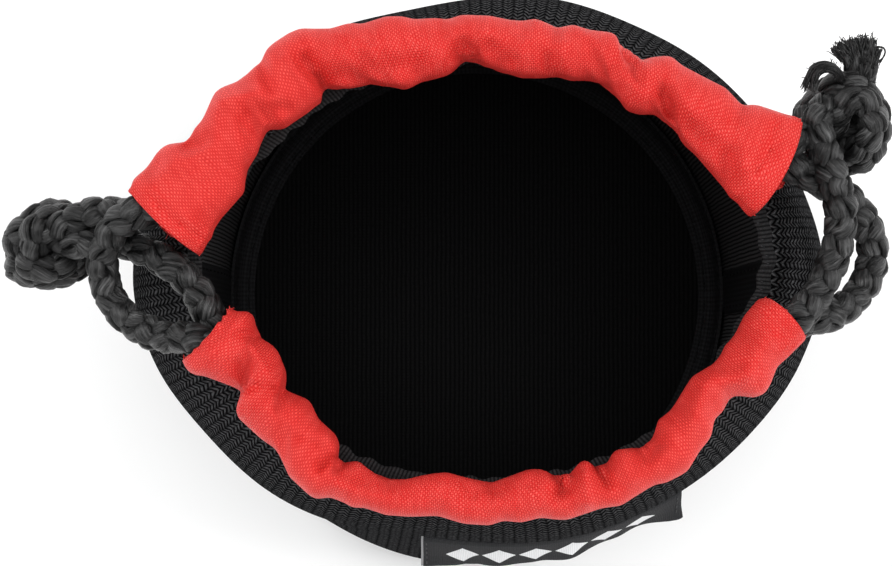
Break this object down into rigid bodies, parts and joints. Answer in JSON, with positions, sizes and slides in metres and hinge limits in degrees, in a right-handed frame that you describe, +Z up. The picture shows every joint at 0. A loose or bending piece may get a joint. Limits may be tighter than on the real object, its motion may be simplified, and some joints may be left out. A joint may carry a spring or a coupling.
{
  "type": "drawstring pouch",
  "caption": "Stiff neoprene cup pouch with a round base, a label on its front and a fabric-channel mouth that two knotted drawcords pull shut from both sides.",
  "frame": {"origin": "centre of the round base, on its underside", "axes": "+Z up out of the mouth, -Y towards the front that carries the label, +X towards the right-hand knot as seen from that front"},
  "size_m": [0.1123, 0.08, 0.0947],
  "materials": {
    "neoprene": "foam rubber sheet faced with a coarse black knit outside and a fine ribbed knit inside",
    "binding_tape": "black woven tape",
    "woven_label": "black satin-woven label",
    "red_taffeta": "red plain-woven nylon, slightly shiny, with cut and frayed ends",
    "drawcord": "black braided multifilament cord, slightly shiny"
  },
  "bodies": {
    "pouch": {"base_disc": "neoprene", "front_panel": "neoprene", "back_panel": "neoprene", "base_seam_binding": "binding_tape", "left_seam_tape": "binding_tape", "right_seam_tape": "binding_tape", "label": "woven_label", "left_cord_crossing": "drawcord", "right_cord_crossing": "drawcord"},
    "front_mouth": {"front_channel": "red_taffeta", "left_cord_front_run": "drawcord", "right_cord_front_run": "drawcord"},
    "back_mouth": {"back_channel": "red_taffeta", "left_cord_back_run": "drawcord", "right_cord_back_run": "drawcord"},
    "left_pull": {"left_knot": "drawcord", "left_cord_back_tail": "drawcord", "left_cord_front_tail": "drawcord", "left_cord_end_a": "drawcord", "left_cord_end_b": "drawcord"},
    "right_pull": {"right_knot": "drawcord", "right_cord_back_tail": "drawcord", "right_cord_front_tail": "drawcord", "right_cord_end_a": "drawcord", "right_cord_end_b": "drawcord"}
  },
  "joints": [
    {"name": "left_cord_pull", "type": "slide", "parent": "pouch", "child": "left_pull", "axis": [-1, 0, 0], "range_m": [0, 0.02], "deforming": ["left_cord_back_tail", "left_cord_front_tail"]},
    {"name": "right_cord_pull", "type": "slide", "parent": "pouch", "child": "right_pull", "axis": [1, 0, 0], "range_m": [0, 0.02], "deforming": ["right_cord_back_tail", "right_cord_front_tail"]},
    {"name": "front_mouth_close", "type": "slide", "parent": "pouch", "child": "front_mouth", "axis": [0, 1, 0], "range_m": [0, 0.022], "deforming": ["front_channel", "left_cord_front_run", "right_cord_front_run"]},
    {"name": "back_mouth_close", "type": "slide", "parent": "pouch", "child": "back_mouth", "axis": [0, -1, 0], "range_m": [0, 0.022], "deforming": ["back_channel", "left_cord_back_run", "right_cord_back_run"]}
  ],
  "couplings": [
    {"joint": "right_cord_pull", "follows": "left_cord_pull", "ratio": 1},
    {"joint": "front_mouth_close", "follows": "left_cord_pull", "ratio": 1.1},
    {"joint": "back_mouth_close", "follows": "left_cord_pull", "ratio": 1.1}
  ]
}
